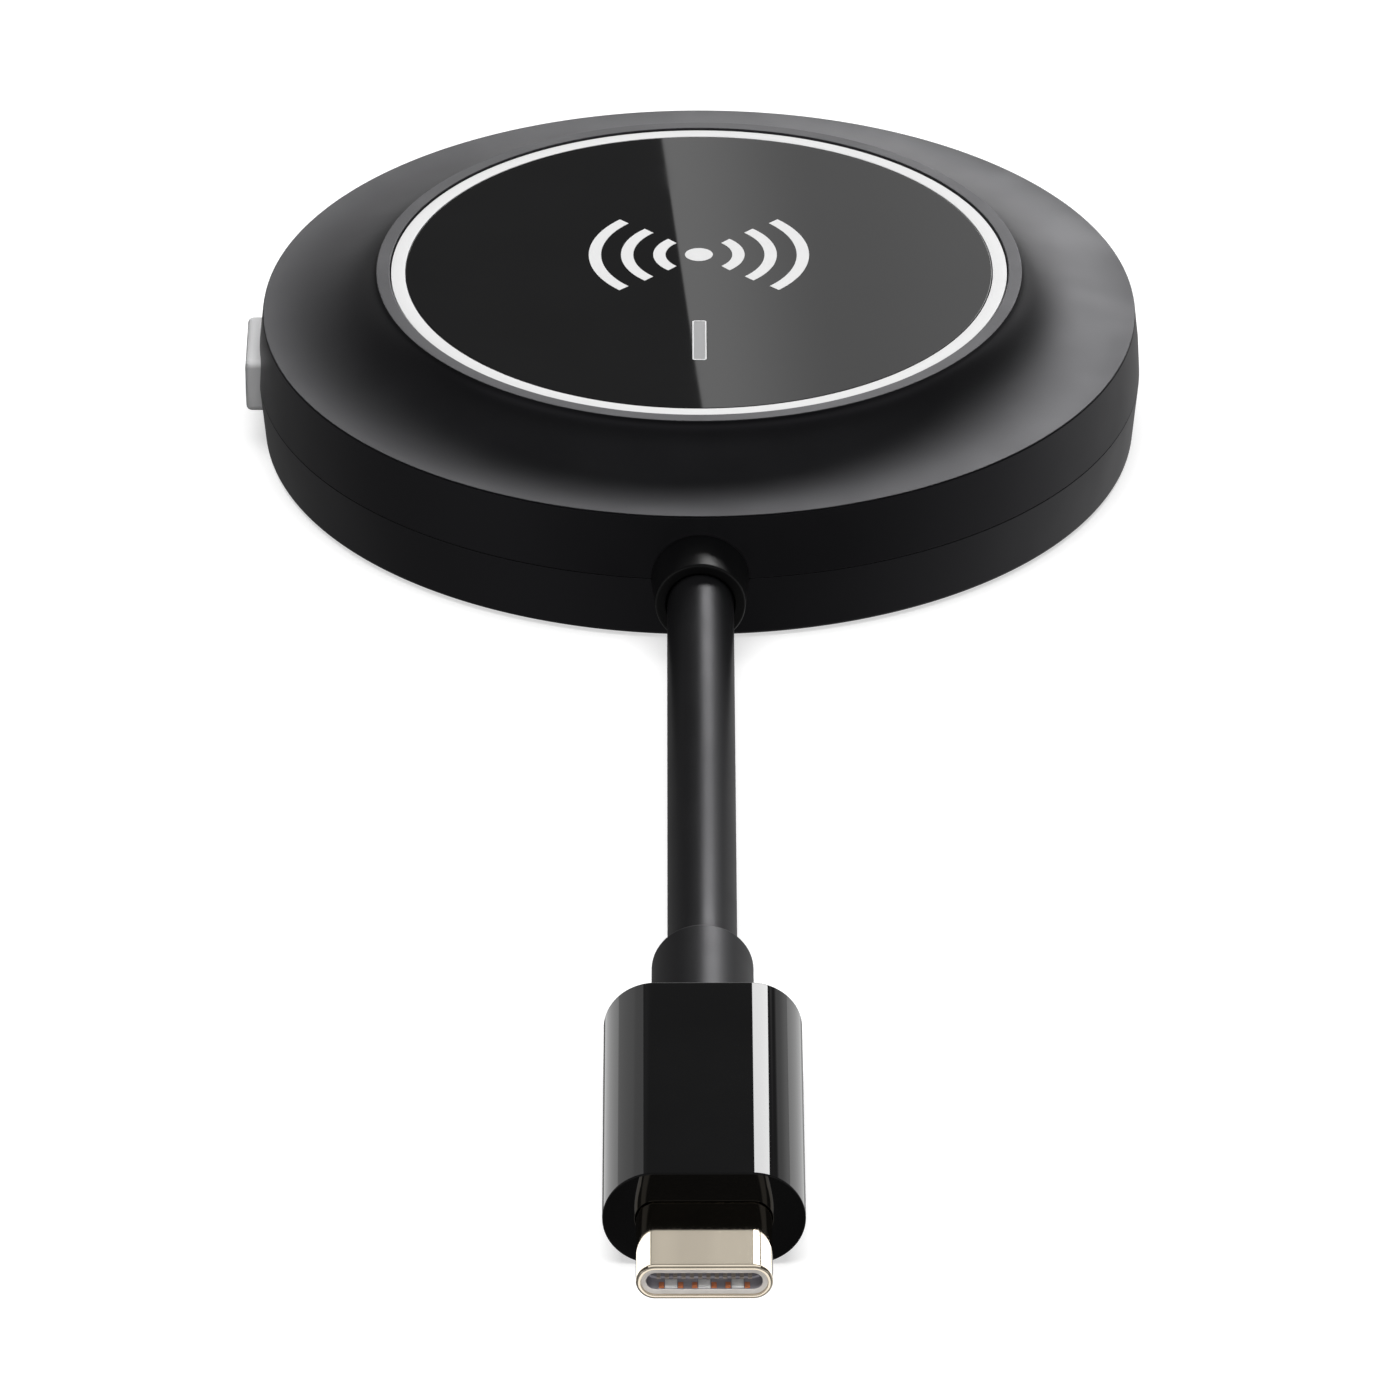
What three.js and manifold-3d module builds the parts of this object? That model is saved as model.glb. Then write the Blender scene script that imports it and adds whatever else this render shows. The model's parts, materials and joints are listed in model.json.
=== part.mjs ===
// Round wireless streaming puck on a short captive USB-C cable, as an assembly of separate pieces.
// Millimetres, +Z up. The origin is the centre of the rubber foot, on the surface that it stands on.
// The cable leaves towards -Y and the side button is on -X.
import * as THREE from "three";
import { mergeVertices } from "three/addons/utils/BufferGeometryUtils.js";
import Module from "manifold-3d";

const wasm = await Module();
wasm.setup();

// ---------------------------------------------------------------- driving dimensions

const TURN = 60; // facets round the puck
const SMALL_TURN = 16; // facets round bosses, gland and screws

const PUCK = { seamR: 30.1, rimR: 29.72, rimZ: 9.26, lipR: 22.0, topZ: 12.24, baseR: 29.68 };
const SEAM_Z = 4.68; // where the two shells meet, and the height of the cable
const SHELL = { innerR: 28.4, floorZ: 1.6, footRecessZ: 0.8, bottomZ: 0.2, bottomFillet: 0.3 };
const TONGUE = { outerR: 29.1, topZ: 5.4, clearance: 0.1 };

// Underside of the upper shell below the hollow sweep: [radius, z].
const CEILING = [
  [23.2, 9.2],
  [24.6, 8.6],
  [26.2, 8.15],
  [27.9, 7.9],
  [28.4, 7.4],
];

const FOOT = { r: 27.5, recessR: 27.7, height: 0.8 };

const BORE_R = 21.05; // opening in the upper shell that holds the light ring
const RING = { innerR: 20.0, outerR: 20.96, flangeR: 22.0, flangeTop: 9.2, flangeBottom: 8.4 };
const DISC_TOP = 12.12; // height of the glossy panel and of the light ring
const PANEL = { r: 19.94, thickness: 1.0 };
const WINDOW = { width: 1.0, length: 5.7, y: -10.25, fit: 0.05 };
const CARRIER = { r: 19.9, skirtR: 19.0, discZ: 10.32, bottomZ: 7.6, earR: 24.0, earWidth: 3.6 };
const EAR_ANGLES = [90, 210, 330];
const STAKE = { r: 0.55, atR: 22.75, holeR: 0.85, tipZ: 7.2 };

const BOARD = { r: 27.2, bottomZ: 4.0, topZ: 5.0, flatY: -20.4 };
const SCREW = { atR: 24.6, headR: 1.8, headZ: 0.95, seatZ: 2.15, shankR: 0.9, tipZ: 7.6 };
const BOSS = { lowerR: 2.7, upperR: 2.2, holeR: 1.2, sinkR: 2.1, topZ: 8.9, blindZ: 8.0 };
const SCREW_ANGLES = [45, 135, 225, 315];

const LED_R = 20.5;
const LED_COUNT = 6;

const BUTTON = { y: 0.45, width: 6.9, height: 3.95, faceX: -31.05, backX: -27.6, gap: 0.15 };
const BUTTON_EDGE = { corner: 0.7, bevel: 0.4 };
const BUTTON_FLANGE = { width: 8.4, height: 5.2, thickness: 0.7 };
const SWITCH = { frontX: -25.6, length: 3.7, width: 5.0, height: 1.9, z: 4.5 };
const PLUNGER = { width: 1.6, height: 0.8, depth: 1.0, room: 0.35, pocket: 1.8 };

const GLAND = { rootR: 3.27, tipR: 2.98, neckR: 2.9, holeR: 3.2, rootY: -30.15, tipY: -33.45 };
const GLAND_FLANGE = { width: 9.0, height: 5.2, frontY: -27.8, backY: -26.6 };
const CORD_R = 2.2;
const PLUG = { z: 3.25, width: 12.35, height: 6.5, backY: -84.7, frontY: -107.1, wall: 0.8 };
const COLLAR = { r: 3.2, startY: -77.7, insertY: -88.0 };
const USB = { width: 8.25, height: 2.4, wall: 0.3, tipY: -114.3, rootY: -103.0 };
const CONTACTS = { count: 12, pitch: 0.5, width: 0.25, thickness: 0.12, tipY: -113.0 };
const CONTACT_STRIP = { halfWidth: 3.1, frontY: -109.0, backY: -108.6 };
const MOULDING = { gap: 0.1, frontY: -114.05, slotX: 3.15, slotZ: 0.55, passageZ: 0.3, passageY: -104 };
const PLUG_BOARD = { halfWidth: 4.6, frontY: -101.8, backY: -89.0, thickness: 0.8 };
const PLUG_CHIP = { halfWidth: 1.5, frontY: -97.5, backY: -94.5, height: 0.8 };

// Height of the cable's centre line along its run to the plug: [y, z].
const CORD_ROUTE = [
  [-33.75, 4.68],
  [-36.5, 4.68],
  [-39.5, 4.66],
  [-42.5, 4.6],
  [-45.5, 4.5],
  [-48.5, 4.37],
  [-51.5, 4.21],
  [-54.5, 4.04],
  [-57.5, 3.87],
  [-60.5, 3.71],
  [-63.5, 3.57],
  [-66.5, 3.45],
  [-69.5, 3.36],
  [-72.5, 3.3],
  [-75.0, 3.26],
  [-77.4, 3.25],
];

// ---------------------------------------------------------------- materials

function material(color, roughness, metalness = 0) {
  return () => new THREE.MeshStandardMaterial({ color, roughness, metalness });
}

const shellPlastic = material(0x232325, 0.45);
const glossPanel = material(0x0c0c0d, 0.06);
const diffuser = material(0xe8e8e8, 0.4);
const clearLens = material(0xb4b6b8, 0.3);
const innerPlastic = material(0x18181a, 0.6);
const buttonGrey = material(0xc4c4c6, 0.4);
const rubber = material(0x1a1a1a, 0.85);
const cableSkin = material(0x1d1d1f, 0.5);
const glossPlug = material(0x0e0e0f, 0.12);
const goldShell = material(0xd9c39a, 0.22, 1);
const goldContact = material(0xd0a050, 0.3, 1);
const liner = material(0x9a9aa0, 0.5);
const boardGreen = material(0x14462a, 0.55);
const chipBlack = material(0x151516, 0.55);
const tinPlate = material(0xb9bcc0, 0.35, 1);
const aluminium = material(0xaeb1b5, 0.4, 1);
const zincSteel = material(0x8f9296, 0.35, 1);
const gapPad = material(0x7d8fa8, 0.9);
const ivory = material(0xe6dfcf, 0.5);
const ceramic = material(0xb89b74, 0.6);
const ledWhite = material(0xf2efdf, 0.4);
const leadColours = [0x9c1b1b, 0x1c7a3a, 0xe0e0e0, 0x161616];

// ---------------------------------------------------------------- shapes and solids

// Moves a shape drawn in X, Y to the X, Z plane, swept towards -Y.
function towardsMinusY(geometry, startY, z) {
  return geometry.rotateX(Math.PI / 2).translate(0, startY, z);
}

// Moves a shape drawn in X, Y to the Y, Z plane, swept towards +X.
function towardsPlusX(geometry, startX, y, z) {
  return geometry.rotateX(Math.PI / 2).rotateZ(Math.PI / 2).translate(startX, y, z);
}

function roundedRect(width, height, radius) {
  const x = width / 2 - radius;
  const y = height / 2 - radius;
  const shape = new THREE.Shape();
  shape.absarc(x, y, radius, 0, Math.PI / 2);
  shape.absarc(-x, y, radius, Math.PI / 2, Math.PI);
  shape.absarc(-x, -y, radius, Math.PI, 1.5 * Math.PI);
  shape.absarc(x, -y, radius, 1.5 * Math.PI, 2 * Math.PI);
  return shape;
}

function stadium(width, height) {
  return roundedRect(width, height, height / 2);
}

function prism(shape, depth, curveSegments = 5, bevel = 0) {
  return new THREE.ExtrudeGeometry(shape, {
    depth: depth - 2 * bevel,
    curveSegments,
    bevelEnabled: bevel > 0,
    bevelThickness: bevel,
    bevelSize: bevel,
    bevelOffset: -bevel,
    bevelSegments: 2,
  }).translate(0, 0, bevel);
}

// A box from its lowest corner to its highest.
function block([x0, y0, z0], [x1, y1, z1]) {
  const box = new THREE.BoxGeometry(x1 - x0, y1 - y0, z1 - z0);
  return box.translate((x0 + x1) / 2, (y0 + y1) / 2, (z0 + z1) / 2);
}

// A box on a centre x, y, from one height to another.
function slab(x, y, width, depth, z0, z1) {
  return block([x - width / 2, y - depth / 2, z0], [x + width / 2, y + depth / 2, z1]);
}

// Turns a profile of [radius, z] points about the Z axis.
function turned(profile, facets = TURN) {
  const points = profile.map(([r, z]) => new THREE.Vector2(r, z));
  return new THREE.LatheGeometry(points, facets).rotateX(Math.PI / 2);
}

function post(x, y, radius, z0, z1) {
  const length = z1 - z0;
  const cylinder = new THREE.CylinderGeometry(radius, radius, length, SMALL_TURN);
  return cylinder.rotateX(Math.PI / 2).translate(x, y, z0 + length / 2);
}

function solid(geometry) {
  const bare = geometry.clone();
  bare.deleteAttribute("normal");
  bare.deleteAttribute("uv");
  const merged = mergeVertices(bare, 1e-4);
  const corners = [...merged.index.array];
  const triVerts = [];
  for (let i = 0; i < corners.length; i += 3) {
    const [a, b, c] = corners.slice(i, i + 3);
    if (a !== b && b !== c && c !== a) triVerts.push(a, b, c);
  }
  return new wasm.Manifold(
    new wasm.Mesh({
      numProp: 3,
      vertProperties: merged.attributes.position.array,
      triVerts: new Uint32Array(triVerts),
    }),
  );
}

function geometryOf(manifold) {
  const mesh = manifold.getMesh();
  const geometry = new THREE.BufferGeometry();
  geometry.setAttribute("position", new THREE.BufferAttribute(mesh.vertProperties, 3));
  geometry.setIndex(new THREE.BufferAttribute(mesh.triVerts, 1));
  geometry.computeVertexNormals();
  return geometry;
}

function joined(first, ...others) {
  return others.reduce((sum, next) => sum.add(solid(next)), solid(first));
}

function cut(from, ...tools) {
  return geometryOf(tools.reduce((rest, tool) => rest.subtract(solid(tool)), from));
}

function polar(radius, degrees) {
  const angle = THREE.MathUtils.degToRad(degrees);
  return [radius * Math.cos(angle), radius * Math.sin(angle)];
}

// ---------------------------------------------------------------- assembly

const part = new THREE.Group();

function add(name, geometry, makeMaterial) {
  const mesh = new THREE.Mesh(geometry, makeMaterial());
  mesh.name = name;
  part.add(mesh);
  return mesh;
}

// ---------------------------------------------------------------- casing

// Openings that both shells share: the button's slot and the cable gland's hole.
function wallOpenings() {
  const width = BUTTON.width + 2 * BUTTON.gap;
  const height = BUTTON.height + 2 * BUTTON.gap;
  const slot = prism(roundedRect(width, height, BUTTON_EDGE.corner + BUTTON.gap), 6);
  const length = 6;
  const hole = new THREE.CylinderGeometry(GLAND.holeR, GLAND.holeR, length, SMALL_TURN);
  return [
    towardsPlusX(slot, BUTTON.faceX - 1, BUTTON.y, SEAM_Z),
    hole.translate(0, GLAND.rootY + 1, SEAM_Z),
  ];
}

// The hollow sweep from the sharp rim, level, up to the lip, upright.
function coveProfile(steps) {
  const across = PUCK.rimR - PUCK.lipR;
  const rise = PUCK.topZ - PUCK.rimZ;
  const points = [];
  for (let i = 0; i <= steps; i++) {
    const angle = (Math.PI / 2) * (i / steps);
    points.push([PUCK.rimR - across * Math.sin(angle), PUCK.topZ - rise * Math.cos(angle)]);
  }
  return points;
}

function upperShell() {
  const profile = [
    [PUCK.seamR, SEAM_Z],
    ...coveProfile(8),
    [BORE_R, PUCK.topZ],
    [BORE_R, RING.flangeTop],
    ...CEILING,
    [SHELL.innerR, TONGUE.topZ + TONGUE.clearance],
    [TONGUE.outerR + TONGUE.clearance, TONGUE.topZ + TONGUE.clearance],
    [TONGUE.outerR + TONGUE.clearance, SEAM_Z],
    [PUCK.seamR, SEAM_Z],
  ];
  const bosses = SCREW_ANGLES.map((a) => post(...polar(SCREW.atR, a), BOSS.upperR, BOARD.topZ, BOSS.topZ));
  const stakes = EAR_ANGLES.map((a) =>
    post(...polar(STAKE.atR, a), STAKE.r, STAKE.tipZ, RING.flangeTop + 0.4),
  );
  const holes = SCREW_ANGLES.map((a) =>
    post(...polar(SCREW.atR, a), BOSS.holeR, BOARD.topZ - 1, BOSS.blindZ),
  );
  return cut(joined(turned(profile), ...bosses, ...stakes), ...holes, ...wallOpenings());
}

function lowerShell() {
  const fillet = SHELL.bottomFillet;
  const round = [0, 1, 2, 3, 4].map((i) => {
    const angle = (Math.PI / 8) * i;
    const r = PUCK.baseR - fillet + fillet * Math.sin(angle);
    return [r, SHELL.bottomZ + fillet - fillet * Math.cos(angle)];
  });
  const profile = [
    [0, SHELL.footRecessZ],
    [FOOT.recessR, SHELL.footRecessZ],
    [FOOT.recessR, SHELL.bottomZ],
    ...round,
    [PUCK.seamR, SEAM_Z],
    [TONGUE.outerR, SEAM_Z],
    [TONGUE.outerR, TONGUE.topZ],
    [SHELL.innerR, TONGUE.topZ],
    [SHELL.innerR, SHELL.floorZ],
    [0, SHELL.floorZ],
  ];
  const bosses = SCREW_ANGLES.map((a) =>
    post(...polar(SCREW.atR, a), BOSS.lowerR, SHELL.footRecessZ + 0.2, BOARD.bottomZ),
  );
  const holes = SCREW_ANGLES.flatMap((a) => [
    post(...polar(SCREW.atR, a), BOSS.sinkR, 0, SCREW.seatZ),
    post(...polar(SCREW.atR, a), BOSS.holeR, 0, BOARD.bottomZ + 1),
  ]);
  return cut(joined(turned(profile), ...bosses), ...holes, ...wallOpenings());
}

function caseScrew() {
  const slot = 0.35;
  const depth = 0.7;
  const top = SCREW.headZ;
  const body = turned(
    [
      [0, top],
      [SCREW.headR - 0.2, top],
      [SCREW.headR, top + 0.2],
      [SCREW.headR, SCREW.seatZ],
      [SCREW.shankR, SCREW.seatZ],
      [SCREW.shankR, SCREW.tipZ - 0.5],
      [0, SCREW.tipZ],
    ],
    SMALL_TURN,
  );
  const across = slab(0, 0, 2.2, slot, top - 1, top + depth);
  const along = slab(0, 0, slot, 2.2, top - 1, top + depth);
  return cut(solid(body), across, along);
}

function footPad() {
  const chamfer = 0.2;
  return turned([
    [0, 0],
    [FOOT.r - chamfer, 0],
    [FOOT.r, chamfer],
    [FOOT.r, FOOT.height],
    [0, FOOT.height],
  ]);
}

add("upper_shell", upperShell(), shellPlastic);
add("lower_shell", lowerShell(), shellPlastic);
add("foot_pad", footPad(), rubber);
SCREW_ANGLES.forEach((angle, i) => {
  const screw = add(`case_screw_${i + 1}`, caseScrew(), zincSteel);
  screw.position.set(...polar(SCREW.atR, angle), 0);
});

// ---------------------------------------------------------------- top disc, light ring and window

function lightRing() {
  const body = turned([
    [RING.innerR, RING.flangeBottom],
    [RING.flangeR, RING.flangeBottom],
    [RING.flangeR, RING.flangeTop],
    [RING.outerR, RING.flangeTop],
    [RING.outerR, DISC_TOP],
    [RING.innerR, DISC_TOP],
    [RING.innerR, RING.flangeBottom],
  ]);
  const legs = [];
  for (let i = 0; i < LED_COUNT; i++) {
    const leg = slab(LED_R, 0, 0.86, 2.6, BOARD.topZ + 1.2, RING.flangeBottom + 0.2);
    legs.push(leg.rotateZ((i * 2 * Math.PI) / LED_COUNT));
  }
  return geometryOf(joined(body, ...legs));
}

function windowHole(extra, z0, z1) {
  return slab(0, WINDOW.y, WINDOW.width + extra, WINDOW.length + extra, z0, z1);
}

function topPanel() {
  const bottom = DISC_TOP - PANEL.thickness;
  const edge = 0.12;
  const disc = turned([
    [0, bottom],
    [PANEL.r, bottom],
    [PANEL.r, DISC_TOP - edge],
    [PANEL.r - edge, DISC_TOP],
    [0, DISC_TOP],
  ]);
  return cut(solid(disc), windowHole(0, bottom - 1, DISC_TOP + 1));
}

function panelCarrier() {
  const top = DISC_TOP - PANEL.thickness;
  const body = turned([
    [0, CARRIER.discZ],
    [CARRIER.skirtR, CARRIER.discZ],
    [CARRIER.skirtR, CARRIER.bottomZ],
    [CARRIER.r, CARRIER.bottomZ],
    [CARRIER.r, top],
    [0, top],
  ]);
  const inner = CARRIER.skirtR + 0.2;
  const ears = EAR_ANGLES.map((angle) => {
    const half = CARRIER.earWidth / 2;
    const ear = block([inner, -half, CARRIER.bottomZ], [CARRIER.earR, half, RING.flangeBottom]);
    return ear.rotateZ(THREE.MathUtils.degToRad(angle));
  });
  const holes = EAR_ANGLES.map((angle) =>
    post(...polar(STAKE.atR, angle), STAKE.holeR, STAKE.tipZ, RING.flangeTop),
  );
  return cut(joined(body, ...ears), ...holes, windowHole(0.4, CARRIER.discZ - 1, top + 1));
}

// Clear piece that carries the status light up from the board to the slot in the panel.
function statusWindow() {
  const blade = windowHole(-2 * WINDOW.fit, CARRIER.discZ - 0.4, DISC_TOP);
  const flange = slab(0, WINDOW.y, 2.6, 7.6, CARRIER.discZ - 0.8, CARRIER.discZ);
  const stem = slab(0, WINDOW.y, 1.4, 3.0, BOARD.topZ + 1.0, CARRIER.discZ - 0.6);
  return geometryOf(joined(blade, flange, stem));
}

add("light_ring", lightRing(), diffuser);
add("top_panel", topPanel(), glossPanel);
add("panel_carrier", panelCarrier(), innerPlastic);
add("status_window", statusWindow(), clearLens);

// ---------------------------------------------------------------- side button and its switch

function sideButton() {
  const length = BUTTON.backX - BUTTON.faceX;
  const { corner, bevel } = BUTTON_EDGE;
  const cap = prism(roundedRect(BUTTON.width, BUTTON.height, corner), length + 0.3, 5, bevel);
  const flange = prism(
    roundedRect(BUTTON_FLANGE.width, BUTTON_FLANGE.height, 0.6),
    BUTTON_FLANGE.thickness,
    3,
  );
  return geometryOf(
    joined(
      towardsPlusX(cap, BUTTON.faceX, BUTTON.y, SEAM_Z),
      towardsPlusX(flange, BUTTON.backX, BUTTON.y, SEAM_Z),
    ),
  );
}

function switchBody() {
  const half = SWITCH.width / 2;
  const low = SWITCH.z - SWITCH.height / 2;
  const high = SWITCH.z + SWITCH.height / 2;
  const backX = SWITCH.frontX + SWITCH.length;
  const box = block([SWITCH.frontX, BUTTON.y - half, low], [backX, BUTTON.y + half, high]);
  const ears = block(
    [SWITCH.frontX + 1, BUTTON.y - half - 1, BOARD.topZ],
    [backX - 0.6, BUTTON.y + half + 1, BOARD.topZ + 0.3],
  );
  const pocketHalf = PLUNGER.width / 2 + PLUNGER.room;
  const pocketRise = PLUNGER.height / 2 + PLUNGER.room;
  const pocket = block(
    [SWITCH.frontX - 1, BUTTON.y - pocketHalf, SWITCH.z - pocketRise],
    [SWITCH.frontX + PLUNGER.pocket, BUTTON.y + pocketHalf, SWITCH.z + pocketRise],
  );
  return cut(joined(box, ears), pocket);
}

function switchPlunger() {
  const frontX = BUTTON.backX + BUTTON_FLANGE.thickness;
  const half = PLUNGER.width / 2;
  const rise = PLUNGER.height / 2;
  return block(
    [frontX, BUTTON.y - half, SWITCH.z - rise],
    [SWITCH.frontX + PLUNGER.depth, BUTTON.y + half, SWITCH.z + rise],
  );
}

add("side_button", sideButton(), buttonGrey);
add("switch_body", switchBody(), tinPlate);
add("switch_plunger", switchPlunger(), innerPlastic);

// ---------------------------------------------------------------- main board and what is on it

function boardOutline() {
  const halfFlat = Math.sqrt(BOARD.r ** 2 - BOARD.flatY ** 2);
  const flatAngle = Math.atan2(BOARD.flatY, halfFlat);
  const slot = { backX: -21.6, low: BUTTON.y - 2.9, high: BUTTON.y + 2.9 };
  const clear = { backX: -26.0, low: BUTTON.y - 4.8, high: BUTTON.y + 4.8 };
  const highAngle = Math.PI - Math.asin(clear.high / BOARD.r);
  const lowAngle = Math.PI - Math.asin(clear.low / BOARD.r);
  const shape = new THREE.Shape();
  shape.moveTo(halfFlat, BOARD.flatY);
  shape.absarc(0, 0, BOARD.r, flatAngle, highAngle);
  shape.lineTo(clear.backX, clear.high);
  shape.lineTo(clear.backX, slot.high);
  shape.lineTo(slot.backX, slot.high);
  shape.lineTo(slot.backX, slot.low);
  shape.lineTo(clear.backX, slot.low);
  shape.lineTo(clear.backX, clear.low);
  shape.absarc(0, 0, BOARD.r, lowAngle, Math.PI - flatAngle);
  for (const angle of SCREW_ANGLES) {
    const hole = new THREE.Path();
    hole.absarc(...polar(SCREW.atR, angle), BOSS.holeR, 0, 2 * Math.PI);
    shape.holes.push(hole);
  }
  return shape;
}

function mainBoard() {
  const thickness = BOARD.topZ - BOARD.bottomZ;
  return prism(boardOutline(), thickness, 16).translate(0, 0, BOARD.bottomZ);
}

// Anything soldered flat on the board's upper face.
function onBoard(name, x, y, width, depth, height, makeMaterial) {
  add(name, slab(x, y, width, depth, BOARD.topZ, BOARD.topZ + height), makeMaterial);
}

add("main_board", mainBoard(), boardGreen);

const SHIELD = { x: -2.5, y: 3.5, width: 21, depth: 19, wall: 0.3, frameZ: 6.8, lidZ: 7.3, gap: 0.1 };
const SOC = { x: -6.8, y: 4.5, size: 11, height: 1.2 };

onBoard("processor_chip", SOC.x, SOC.y, SOC.size, SOC.size, SOC.height, chipBlack);
onBoard("memory_chip", 3.4, 7.4, 7.5, 10, 1.0, chipBlack);
onBoard("flash_chip", 3.4, -1.4, 7.5, 6.5, 0.9, chipBlack);
onBoard("wifi_module", 13.8, 0.5, 8.4, 12, 1.9, tinPlate);
onBoard("power_chip", -9.5, -11, 4, 4, 0.8, chipBlack);
onBoard("usb_controller_chip", 7.5, -11.2, 5, 5, 0.8, chipBlack);
onBoard("crystal", 13.2, -11, 3.2, 2.5, 0.8, tinPlate);
onBoard("status_led", 0, WINDOW.y, 1.6, 0.8, 0.6, ledWhite);
[-14.4, -4.4].forEach((x, i) => {
  onBoard(`inductor_${i + 1}`, x, -11, 3.2, 3.2, 1.6, chipBlack);
});
[-12.6, -9.6, 7.0, 10.0].forEach((x, i) => {
  onBoard(`capacitor_${i + 1}`, x, -15.4, 2.0, 1.25, 1.2, ceramic);
});
for (let i = 0; i < LED_COUNT; i++) {
  const angle = (i * 2 * Math.PI) / LED_COUNT;
  const led = slab(LED_R, 0, 1.25, 2.0, BOARD.topZ, BOARD.topZ + 0.8).rotateZ(angle);
  add(`ring_led_${i + 1}`, led, ledWhite);
}

function shieldFrame() {
  const inner = [SHIELD.width - 2 * SHIELD.wall, SHIELD.depth - 2 * SHIELD.wall];
  const frame = slab(SHIELD.x, SHIELD.y, SHIELD.width, SHIELD.depth, BOARD.topZ, SHIELD.frameZ);
  return cut(solid(frame), slab(SHIELD.x, SHIELD.y, ...inner, BOARD.topZ - 1, SHIELD.frameZ + 1));
}

function shieldLid() {
  const inner = [SHIELD.width + 2 * SHIELD.gap, SHIELD.depth + 2 * SHIELD.gap];
  const outer = inner.map((size) => size + 2 * SHIELD.wall);
  const lid = slab(SHIELD.x, SHIELD.y, ...outer, BOARD.topZ + 0.6, SHIELD.lidZ);
  return cut(solid(lid), slab(SHIELD.x, SHIELD.y, ...inner, BOARD.topZ, SHIELD.lidZ - SHIELD.wall));
}

add("shield_frame", shieldFrame(), tinPlate);
add("shield_lid", shieldLid(), tinPlate);
add(
  "thermal_pad",
  slab(SOC.x, SOC.y, SOC.size, SOC.size, BOARD.topZ + SOC.height, SHIELD.lidZ - SHIELD.wall),
  gapPad,
);

function heatSpreader() {
  const plate = slab(SHIELD.x, SHIELD.y, SHIELD.width, SHIELD.depth, SHIELD.lidZ, SHIELD.lidZ + 0.8);
  const fins = [];
  for (let i = -4; i <= 4; i++) {
    const y = SHIELD.y + 2.2 * i;
    fins.push(slab(SHIELD.x, y, SHIELD.width - 3, 0.8, SHIELD.lidZ + 0.6, SHIELD.lidZ + 2.2));
  }
  return geometryOf(joined(plate, ...fins));
}

add("heat_spreader", heatSpreader(), aluminium);

// Bent-strip aerial: a raised arm on a feed leg and a ground leg.
function antenna(x, y) {
  const arm = { length: 8, width: 1.6, low: 7.0, high: 7.4 };
  const x0 = x - arm.width / 2;
  const x1 = x + arm.width / 2;
  const y0 = y - arm.length / 2;
  const legs = [0, 2.4].map((offset) =>
    block([x0, y0 + offset, BOARD.topZ], [x1, y0 + offset + 0.6, arm.high]),
  );
  return geometryOf(joined(block([x0, y0, arm.low], [x1, y0 + arm.length, arm.high]), ...legs));
}

[-7.5, 7.5].forEach((y, i) => {
  add(`antenna_${i + 1}`, antenna(23.6, y), tinPlate);
});

// ---------------------------------------------------------------- cable entry

const HEADER = { backY: -15.6, frontY: -20.2, width: 10.4, topZ: 7.4, wall: 0.8, gap: 0.2 };
const CRIMP = { frontY: -21.2, z: 6.15, height: 1.4 };

function cableHeader() {
  const half = HEADER.width / 2;
  const box = block([-half, HEADER.frontY, BOARD.topZ], [half, HEADER.backY, HEADER.topZ]);
  const pocketHalf = half - HEADER.wall;
  const rise = CRIMP.height / 2 + HEADER.gap;
  const pocket = block(
    [-pocketHalf, HEADER.frontY - 1, CRIMP.z - rise],
    [pocketHalf, HEADER.backY - HEADER.wall, CRIMP.z + rise],
  );
  return cut(solid(box), pocket);
}

function cableConnector() {
  const half = HEADER.width / 2 - HEADER.wall - HEADER.gap;
  const backY = HEADER.backY - HEADER.wall - HEADER.gap;
  const rise = CRIMP.height / 2;
  return block([-half, CRIMP.frontY, CRIMP.z - rise], [half, backY, CRIMP.z + rise]);
}

function lead(index) {
  const side = index - 1.5;
  const startY = GLAND_FLANGE.backY + 0.3;
  const endY = CRIMP.frontY - 0.3;
  const curve = new THREE.CatmullRomCurve3([
    new THREE.Vector3(side * 1.0, startY, SEAM_Z),
    new THREE.Vector3(side * 1.05, startY + 0.8, SEAM_Z + 0.12),
    new THREE.Vector3(side * 1.5, (startY + endY) / 2, (SEAM_Z + CRIMP.z) / 2 + 0.1),
    new THREE.Vector3(side * 2.0, endY - 0.8, CRIMP.z - 0.08),
    new THREE.Vector3(side * 2.0, endY, CRIMP.z),
  ]);
  const section = new THREE.Shape().absarc(0, 0, 0.4, 0, 2 * Math.PI);
  return new THREE.ExtrudeGeometry(section, { steps: 6, curveSegments: 8, extrudePath: curve });
}

add("cable_header", cableHeader(), ivory);
add("cable_connector", cableConnector(), ivory);
leadColours.forEach((colour, i) => {
  add(`cable_lead_${i + 1}`, lead(i), material(colour, 0.5));
});

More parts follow.
